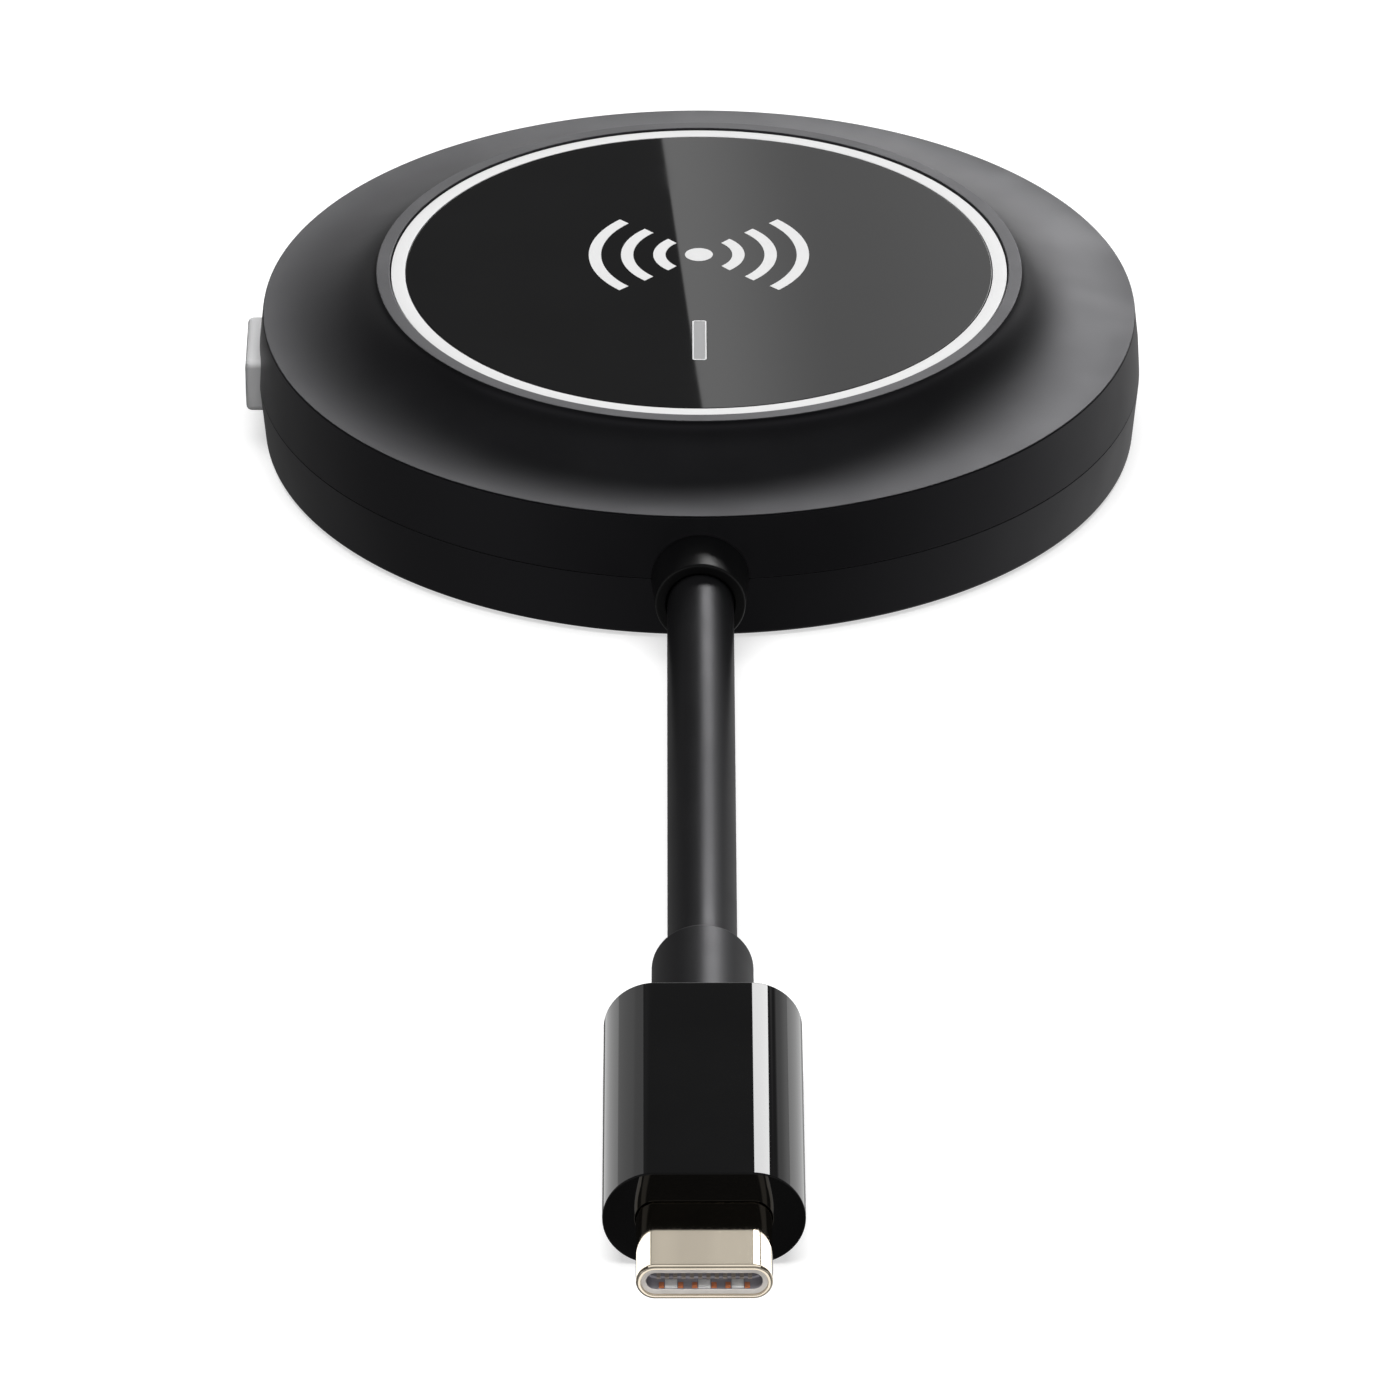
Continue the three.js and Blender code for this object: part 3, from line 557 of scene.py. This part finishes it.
def upper_shell():
    """Wall, rim with a fine groove under it, hollow sweep, lip, and the inside back to the seam."""
    ledge_z, joint_r = 9.2, 29.2
    corners = [
        (SEAM_R, SEAM_Z, 0.07),
        (29.98, 7.0),
        (RIM_R + 0.03, RIM_Z - 0.13, 0.02),
        (RIM_R - 0.04, RIM_Z - 0.09, 0.02),
        (RIM_R + 0.01, RIM_Z - 0.05, 0.02),
        (RIM_R, RIM_Z, 0.03),
        (RIM_R - 0.1, RIM_Z),
        *cove(),
        (LIP_R, TOP_Z, 0.06),
        (LIP_R - 0.1, TOP_Z),
        (BORE_R + 0.1, TOP_Z),
        (BORE_R, TOP_Z, 0.06),
        (BORE_R, ledge_z),
        (23.2, ledge_z),
        (24.6, 8.6),
        (27.9, 7.9),
        (CASE_INSIDE_R, 7.4),
        (CASE_INSIDE_R, 5.5),
        (joint_r, 5.5),
        (joint_r, SEAM_Z),
    ]
    shell = turned("upper_shell_skin", corners, closed=True)
    cut_away(shell, *wall_cutters())
    return dress(shell, "shell_plastic", replaces=["upper_shell"])


def lower_shell():
    """A tray: the foot's recess, the wall up to the seam, and the flat inside."""
    recess_r, joint_r = FOOT_R + 0.2, 29.1
    joint_top, inside_z = SEAM_Z - 0.02, 1.6
    corners = [
        (0, FOOT_TOP),
        (recess_r, FOOT_TOP),
        (recess_r, BASE_Z, 0.1),
        (BASE_R, BASE_Z, 0.3),
        (SEAM_R, joint_top, 0.07),
        (joint_r, joint_top),
        (joint_r, 5.4),
        (CASE_INSIDE_R, 5.4),
        (CASE_INSIDE_R, inside_z),
        (0, inside_z),
    ]
    shell = turned("lower_shell_skin", corners, steps=8)
    cut_away(shell, *wall_cutters())
    return dress(shell, "shell_plastic", replaces=["lower_shell"])


def foot_pad():
    top = FOOT_TOP - 0.01
    pad = turned("foot_pad_skin", [(0, 0), (FOOT_R, 0, 0.15), (FOOT_R, top), (0, top)])
    return dress(pad, "foot_rubber", replaces=["foot_pad"])


shell = upper_shell()
lower_shell()
foot_pad()


# ------------------------------------------------------------------ top disc

def light_ring():
    """A thin ring that shows at the top, on a flange under the casing's lip."""
    flange_r, flange_under, flange_top = 22.0, 8.4, 9.18
    corners = [
        (RING_IN, flange_under),
        (flange_r, flange_under),
        (flange_r, flange_top),
        (RING_OUT, flange_top),
        (RING_OUT, PANEL_Z, 0.05),
        (RING_IN, PANEL_Z, 0.03),
    ]
    ring = turned("light_ring_skin", corners, closed=True)
    return dress(ring, "light_diffuser", replaces=["light_ring"])


def window_outline(inset):
    width, length, corner = WINDOW_SIZE
    return rounded_rect(width - 2 * inset, length - 2 * inset, max(0.03, corner - inset), 32)


def window_place(u, v, w):
    return Vector((u, v + (WINDOW_LOW.y + WINDOW_HIGH.y) / 2, w))


def top_panel():
    under = PANEL_LOW.z
    corners = [(0, under), (PANEL_R, under), (PANEL_R, PANEL_Z, 0.04), (0, PANEL_Z)]
    panel = turned("top_panel_skin", corners)
    levels = [(0, under - 1), (1, under - 1), (1, PANEL_Z + 1), (0, PANEL_Z + 1)]
    cutter = swept("window_cutter", levels, lambda _: window_outline(0.0), window_place)
    cut_away(panel, cutter)
    return dress(panel, "gloss_panel", replaces=["top_panel"])


def status_window():
    """The lamp's light pipe, up to the lens in the panel's slot, and the lens's edge, painted paler
    as a highlight.
    """
    stem, flange = -2, -1  # stand for their own outlines; from 0 up, an inset from the window's
    wide = {stem: rounded_rect(1.4, 3.0, 0.1, 32), flange: rounded_rect(2.6, 7.6, 0.1, 32)}
    flange_under = PIPE_FLANGE_TOP - 0.8
    step, top = PANEL_Z - 0.3, PANEL_Z + 0.01

    def outline(offset):
        return wide.get(offset) or window_outline(offset)

    pipe = [
        (stem, WINDOW_LOW.z),
        (stem, flange_under),
        (flange, flange_under),
        (flange, PIPE_FLANGE_TOP),
        (0.05, PIPE_FLANGE_TOP),
        (0.05, step),
        (0.13, step),
        (0.13, top - 0.02),
    ]
    lens = swept("status_lens", pipe, outline, window_place)
    edge = [(0.02, step + 0.01), (0.02, top, 0.04), (0.12, top, 0.02), (0.12, step + 0.01)]
    rim = swept("status_lens_edge", rounded(edge, True), window_outline, window_place, True)
    # painted highlight: the edge gets a paler copy of the lens material
    dress(rim, "window_lens", finish="window_edge_painted_highlight")
    dress(lens, "window_lens", replaces=["status_window"])


def panel_symbol():
    """A plain broadcast sign printed on the panel: a dot between three waves on each side."""
    bm = bmesh.new()
    low, high = PANEL_Z - 0.01, PANEL_Z + 0.012

    def stroke(outline):
        bottom = [bm.verts.new((x, y + SYMBOL_Y, low)) for x, y in outline]
        top = [bm.verts.new((x, y + SYMBOL_Y, high)) for x, y in outline]
        bm.faces.new(bottom)
        bm.faces.new(top)
        for i in range(len(outline)):
            j = (i + 1) % len(outline)
            bm.faces.new((bottom[i], bottom[j], top[j], top[i]))

    def arc(radius, facing, opening, steps=24):
        sweep = [facing - opening + 2 * opening * i / steps for i in range(steps + 1)]
        angles = [math.radians(degrees) for degrees in sweep]
        return [(radius * math.cos(a), radius * math.sin(a)) for a in angles]

    stroke(circle(0.95, 40))
    half_line = 0.42
    for radius, opening in ((2.7, 48), (4.9, 46), (7.1, 44)):
        for facing in (0, 180):
            outer = arc(radius + half_line, facing, opening)
            inner = arc(radius - half_line, facing, opening)
            stroke(outer + inner[::-1])
    symbol = finish_mesh("panel_symbol", bm)
    return dress(symbol, "light_diffuser", finish="panel_print")


light_ring()
top_panel()
status_window()
panel_symbol()


# ------------------------------------------------------------------ side button

def side_button():
    """A cap with a bowed face that follows the puck's wall, and soft edges."""
    width, height, corner = BUTTON_SIZE
    root = -27.6

    def outline(inset):
        return rounded_rect(width - 2 * inset, height - 2 * inset, max(0.08, corner - inset), 96)

    def place(u, v, w):
        bow = -BUTTON_FACE - math.sqrt(BUTTON_FACE ** 2 - u ** 2)
        return Vector((w + bow, u + BUTTON_Y, v + SEAM_Z))

    corners = [(0.0, root), (0.0, BUTTON_FACE, 0.42), (1.2, BUTTON_FACE)]
    section = rounded(corners, closed=False, steps=10)
    cap = swept("side_button_cap", section, outline, place)
    return dress(cap, "button_plastic", body=BUTTON, replaces=["side_button"])


button_cap = side_button()


# ------------------------------------------------------------------ gland, collar and plug

def about_cable(name, corners, z):
    """A body of revolution about the cable's own line, from (radius, y) corners."""
    section = rounded(corners, closed=False, steps=6)
    return swept(name, section, lambda r: circle(r, 128), lambda u, v, w: along_y(u, v, w, z))


def cable_gland():
    """A tapered sleeve that stands in the casing's hole, open at the front for the cable."""
    front, root, mouth_end = GLAND_FRONT, -27.0, GLAND_FRONT + 0.6
    neck_r = 3.02
    corners = [
        (0, root),
        (neck_r, root),
        (neck_r, -29.6),
        (3.27, -29.75),
        (2.98, front, 0.16),
        (2.28, front, 0.08),
        (2.24, mouth_end),
        (0, mouth_end),
    ]
    gland = about_cable("gland_sleeve", corners, SEAM_Z)
    return dress(gland, "cable_skin", replaces=["cable_gland"], finish="gland_gloss")


def plug_collar():
    """The cable's thicker end, one millimetre of which stands in the plug."""
    radius, into_plug = 3.2, PLUG_HIGH.y - 1.0
    corners = [
        (0, into_plug),
        (radius, into_plug),
        (radius, COLLAR_BACK, 0.3),
        (CORD_R, COLLAR_BACK),
        (0, COLLAR_BACK - 0.1),
    ]
    collar = about_cable("collar_sleeve", corners, PLUG_Z)
    return dress(collar, "cable_skin", replaces=["plug_collar"])


def along_plug(name, corners, closed, steps=5):
    """Sweeps (half height, y) corners round the plug's outline of full round ends."""
    return swept(
        name,
        rounded(corners, closed, steps),
        lambda h: stadium(h, 160),
        lambda u, v, w: along_y(u, v, w, PLUG_Z),
        closed,
    )


def plug_housing():
    """The over-moulding: round the metal shell in front, hollow, and closed in on the collar."""
    front, back = PLUG_LOW.y, PLUG_HIGH.y
    mouth, hollow, cable_way = 1.26, 0.8, 0.2
    corners = [
        (PLUG_HALF, back, 0.12),
        (PLUG_HALF, front, 0.1),
        (mouth, front, 0.04),
        (mouth, front + 1.3),
        (hollow, front + 1.3),
        (hollow, back - 1.2),
        (cable_way, back - 1.2),
        (cable_way, back),
    ]
    housing = along_plug("plug_housing_skin", corners, closed=True)
    return dress(housing, "plug_gloss", replaces=["plug_housing"])


def usb_shell():
    """The drawn metal shell, open at both ends, with a rolled front edge."""
    tip, root = USB_LOW.y, USB_HIGH.y
    half = (USB_HIGH.z - USB_LOW.z) / 2
    wall = 0.3
    corners = [
        (half, root),
        (half, tip, 0.25),
        (half - wall, tip, 0.04),
        (half - wall, root),
    ]
    metal = along_plug("usb_shell_skin", corners, closed=True, steps=8)
    return dress(metal, "plug_metal", replaces=["usb_shell"])


def usb_liner():
    """The moulding inside the metal shell, open at the front for the socket's tongue."""
    front, back = LINER_FRONT, LINER_FRONT + 5.0
    outside, deep_half = 0.9, CAVITY_HALF - 0.12
    corners = [
        (outside, USB_HIGH.y),
        (outside, front, 0.05),
        (CAVITY_HALF, front, 0.06),
        (CAVITY_HALF, front + 1.25),
        (deep_half, front + 1.3),
        (deep_half, back),
        (0.0, back),
    ]
    liner = along_plug("usb_liner_skin", corners, closed=False)
    return dress(liner, "plug_liner", replaces=["usb_insulator"])


def soft_blocks(name, boxes, edge):
    """Blocks with rounded edges, each from its low to its high corner, as one piece."""
    bm = bmesh.new()
    for low, high in boxes:
        verts = bmesh.ops.create_cube(bm, size=1.0)["verts"]
        for vertex in verts:
            vertex.co = [low[k] if vertex.co[k] < 0 else high[k] for k in range(3)]
    bmesh.ops.bevel(bm, geom=bm.edges[:], offset=edge, segments=3, profile=0.5, affect="EDGES")
    return finish_mesh(name, bm)


def usb_springs():
    """Three earthing springs above and below the mouth, each between two copper fingers."""
    front = LINER_FRONT
    springs, fingers = [], []
    for level, proud in ((-1, 0.13), (1, 0.03)):
        base = PLUG_Z + level * (CAVITY_HALF + 0.02)
        for x in (-2.0, 0.0, 2.0):
            low, high = sorted((base, PLUG_Z + level * (CAVITY_HALF - proud)))
            springs.append(((x - 0.37, front + 0.12, low), (x + 0.37, front + 0.98, high)))
            low, high = sorted((base, PLUG_Z + level * (CAVITY_HALF - proud * 0.7)))
            for shift in (-0.58, 0.58):
                start = x + shift - 0.16
                fingers.append(((start, front + 0.14, low), (start + 0.32, front + 0.72, high)))
    steel = soft_blocks("usb_springs", springs, 0.04)
    copper = soft_blocks("usb_fingers", fingers, 0.03)
    return (
        dress(steel, "plug_metal", finish="spring_steel"),
        dress(copper, "contact_gold", finish="contact_copper"),
    )


gland = cable_gland()
collar = plug_collar()
housing = plug_housing()
metal = usb_shell()
liner = usb_liner()
springs = usb_springs()

NODES = frame["nodes"]


# ------------------------------------------------------------------ finish of the CAD pieces inside

def dress_cad_nodes():
    """Every CAD node that stays gets the finish of its slot."""
    slots = {row["node"]: row["material_slot"] for row in frame["record"]["subparts"]}
    for name, node in NODES.items():
        if not node.hide_render:
            node.data.materials.clear()
            node.data.materials.append(MATERIALS[slots[name]])


dress_cad_nodes()


# ------------------------------------------------------------------ floor, world and lights

def make_floor():
    """A pale floor that shows only to the camera and takes the shadows."""
    mesh = bpy.data.meshes.new("floor")
    half = 6.0
    corners = [(-half, -half, 0), (half, -half, 0), (half, half, 0), (-half, half, 0)]
    mesh.from_pydata(corners, [], [(0, 1, 2, 3)])
    floor = bpy.data.objects.new("floor", mesh)
    scene.collection.objects.link(floor)
    floor.location.z = -0.00002
    material = bpy.data.materials.new("floor")
    material.use_nodes = True
    shader = material.node_tree.nodes["Principled BSDF"]
    shader.inputs["Base Color"].default_value = (0.55, 0.55, 0.55, 1)
    shader.inputs["Roughness"].default_value = 1.0
    shader.inputs["Specular IOR Level"].default_value = 0.0
    shader.inputs["Emission Color"].default_value = (1, 1, 1, 1)
    shader.inputs["Emission Strength"].default_value = 0.60
    mesh.materials.append(material)
    floor.visible_glossy = False
    floor.visible_diffuse = False


class Wire:
    """A number in a node tree: arithmetic on it adds the Math nodes."""

    def __init__(self, tree, socket):
        self.tree = tree
        self.socket = socket

    def math(self, operation, *others):
        node = self.tree.nodes.new("ShaderNodeMath")
        node.operation = operation
        for value, socket in zip((self, *others), node.inputs):
            if isinstance(value, Wire):
                self.tree.links.new(value.socket, socket)
            else:
                socket.default_value = value
        return Wire(self.tree, node.outputs[0])

    def __add__(self, other):
        return self.math("ADD", other)

    def __sub__(self, other):
        return self.math("SUBTRACT", other)

    def __mul__(self, other):
        return self.math("MULTIPLY", other)

    def __truediv__(self, other):
        return self.math("DIVIDE", other)

    def largest(self, other):
        return self.math("MAXIMUM", other)

    def outside(self):
        """1 where this mask is 0, and 0 where it is 1."""
        return self.ease(0.0, 1.0, 1.0, 0.0)

    def ease(self, start, end, low=0.0, high=1.0):
        """Smoothly from low, where this number is at start, to high, where it is at end."""
        node = self.tree.nodes.new("ShaderNodeMapRange")
        node.interpolation_type = "SMOOTHSTEP"
        node.inputs["From Min"].default_value = start
        node.inputs["From Max"].default_value = end
        node.inputs["To Min"].default_value = low
        node.inputs["To Max"].default_value = high
        self.tree.links.new(self.socket, node.inputs["Value"])
        return Wire(self.tree, node.outputs["Result"])

    def between(self, start, end, soft):
        """1 from start to end and 0 outside, with edges that are soft wide."""
        half = soft / 2
        return self.ease(start - half, start + half) * self.ease(end - half, end + half, 1.0, 0.0)


EDGE_LEAN, EDGE_SHIFT = 0.1286, 0.06595  # of the bright edge that crosses the top panel
DIM_ROOM = 0.07


def make_world():
    """White to the camera; gloss sees a dim studio with soft boxes low behind the object."""
    world = bpy.data.worlds.new("studio")
    world.use_nodes = True
    scene.world = world
    world.cycles_visibility.diffuse = False
    tree = world.node_tree
    tree.nodes.clear()
    split = tree.nodes.new("ShaderNodeSeparateXYZ")
    tree.links.new(tree.nodes.new("ShaderNodeTexCoord").outputs["Generated"], split.inputs[0])
    x, y, z = (Wire(tree, socket) for socket in split.outputs)
    depth = y.largest(0.02)
    across, rise = x / depth, z / depth  # slopes, as seen along +Y

    # the wall behind: dim cards on both sides of a leaning edge, which shows in the top panel
    behind = y.ease(0.15, 0.65)
    below_top = rise.ease(0.56, 0.60, 1.0, 0.0)
    above_floor = rise.ease(-0.02, 0.02)
    from_edge = across - rise * EDGE_LEAN + EDGE_SHIFT
    right = from_edge.ease(-0.0001, 0.0001)
    left = right.outside()
    left_card = left * across.ease(-0.34, -0.18, 0.10, 0.82) * rise.ease(0.38, 0.44, 1.0, 0.05)
    left_card = left_card + left * 0.01
    right_card = across.ease(0.465, 0.53) * rise.ease(0.05, 0.27, 0.59, 0.36)
    right_card = right_card * rise.ease(0.30, 0.36, 1.0, 0.0)
    middle = right * across.ease(0.38, 0.47, 1.0, 0.0) * rise.ease(0.38, 0.44, 1.6, 0.0)
    wall = (left_card + right_card + middle) * below_top * above_floor

    # the table's own glow, a low band in front and a low glow on both sides
    below_floor = above_floor.outside()
    table = y.ease(-0.1, 0.3) * below_floor * across.ease(-0.3, 0.5, 0.12, 0.42)
    front = y.ease(-0.1, -0.3) * z.between(0.02, 0.32, 0.1) * 0.4
    to_right = x.ease(-0.05, 0.05)
    sides = to_right * y.ease(-0.8, -0.25) * y.ease(0.05, 0.4, 1.0, 0.0) * 0.22
    sides = sides + to_right.outside() * y.ease(-0.86, -0.62) * y.ease(-0.5, 0.05, 1.0, 0.0) * 0.15
    sides = sides * below_floor

    # the soft box in the panel's bright half, and the strip that runs down the plug and the cable
    softbox = from_edge.ease(0.0, 0.0145, 1.16, 0.69) + from_edge.ease(0.016, 0.032, 0.0, 0.12)
    softbox = softbox * right * across.ease(0.045, 0.05, 1.0, 0.0) * rise.between(0.45, 0.585, 0.01)
    strip = across.between(0.042, 0.385, 0.003) * rise.between(0.43, 0.66, 0.02) * 8.5

    glow = behind * (wall + softbox + strip) + table + front + sides + DIM_ROOM
    seen = Wire(tree, tree.nodes.new("ShaderNodeLightPath").outputs["Is Camera Ray"])
    background = tree.nodes.new("ShaderNodeBackground")
    tree.links.new(glow.largest(seen).socket, background.inputs["Strength"])
    background.inputs["Color"].default_value = (1, 1, 1, 1)
    output = tree.nodes.new("ShaderNodeOutputWorld")
    tree.links.new(background.outputs[0], output.inputs["Surface"])


def soft_lamp(name, radiance, size, at, aim, glossy=False, diffuse=True, receivers=()):
    """A rectangular lamp of that radiance, sized in metres, which the camera never sees."""
    data = bpy.data.lights.new(name, "AREA")
    data.shape = "RECTANGLE"
    data.size, data.size_y = size
    data.energy = radiance * math.pi * size[0] * size[1]
    lamp = bpy.data.objects.new(name, data)
    scene.collection.objects.link(lamp)
    lamp.location = at
    lamp.rotation_euler = Vector(aim).to_track_quat("-Z", "Y").to_euler()
    lamp.visible_camera = False
    lamp.visible_glossy = glossy
    lamp.visible_diffuse = diffuse
    if receivers:
        group = bpy.data.collections.new(name)
        for receiver in receivers:
            group.objects.link(receiver)
        lamp.light_linking.receiver_collection = group


def card(name, radiance, across, rise, receivers):
    """A far soft card, placed by its slopes as seen from the plug, that only gloss shows."""
    distance = 3.0
    size = ((across[1] - across[0]) * distance, (rise[1] - rise[0]) * distance)
    at = (sum(across) / 2 * distance, distance - 0.1, sum(rise) / 2 * distance)
    soft_lamp(name, radiance, size, at, (0, -1, 0), glossy=True, diffuse=False, receivers=receivers)


def make_lamps():
    """Soft light from above and in front; the plug's tip and the button get some of their own."""
    mouth = (liner, *springs, NODES["usb_contacts_upper"], NODES["usb_contacts_lower"])
    for piece in (metal, *mouth):
        piece.visible_shadow = False
    in_front = ((1.2, 0.8), (0, -2.0, 0.7), (0, 1, -0.35))
    near_mouth = ((0.4, 0.3), (0, -1.0, 0.45), (0, 1, -0.45))
    soft_lamp("key", 5.6, (1.4, 1.4), (0, -0.04, 1.5), (0, 0, -1))
    soft_lamp("front_fill", 2.2, *in_front)
    soft_lamp("mouth_fill", 14.0, *near_mouth, receivers=mouth)
    soft_lamp("button_fill", 4.2, *in_front, receivers=[button_cap])


def make_cards():
    """White cards that only the named pieces pick up in their gloss."""
    card("shell_level", 2.0, (-0.12, 0.16), (0.42, 0.64), [shell])
    card("cable_top", 1.9, (0.05, 0.85), (0.43, 0.66), [cable, gland, collar])
    card("gloss_low_left", 0.9, (-1.1, -0.3), (-0.56, 0.0), [housing])
    card("gloss_high_left", 0.45, (-0.75, -0.28), (0.0, 0.62), [housing])
    card("gloss_low_right", 0.6, (0.3, 1.1), (-0.56, 0.0), [housing])
    card("metal_left", 1.7, (-0.95, -0.325), (-0.75, 0.75), [metal])
    card("metal_right", 1.7, (0.46, 0.95), (-0.75, 0.75), [metal])
    card("metal_top", 0.52, (-0.325, 0.076), (0.575, 0.80), [metal])
    only_metal = {"glossy": True, "diffuse": False, "receivers": [metal]}
    soft_lamp("metal_front", 1.1, (1.2, 0.8), (0, -1.0, -0.52), (0, 1, 0.5), **only_metal)
    soft_lamp("metal_over", 0.9, (2.0, 2.0), (0, -0.3, 1.4), (0, 0, -1), **only_metal)


make_floor()
make_world()
make_lamps()
make_cards()
scene.view_settings.view_transform = "Standard"
scene.view_settings.look = "None"
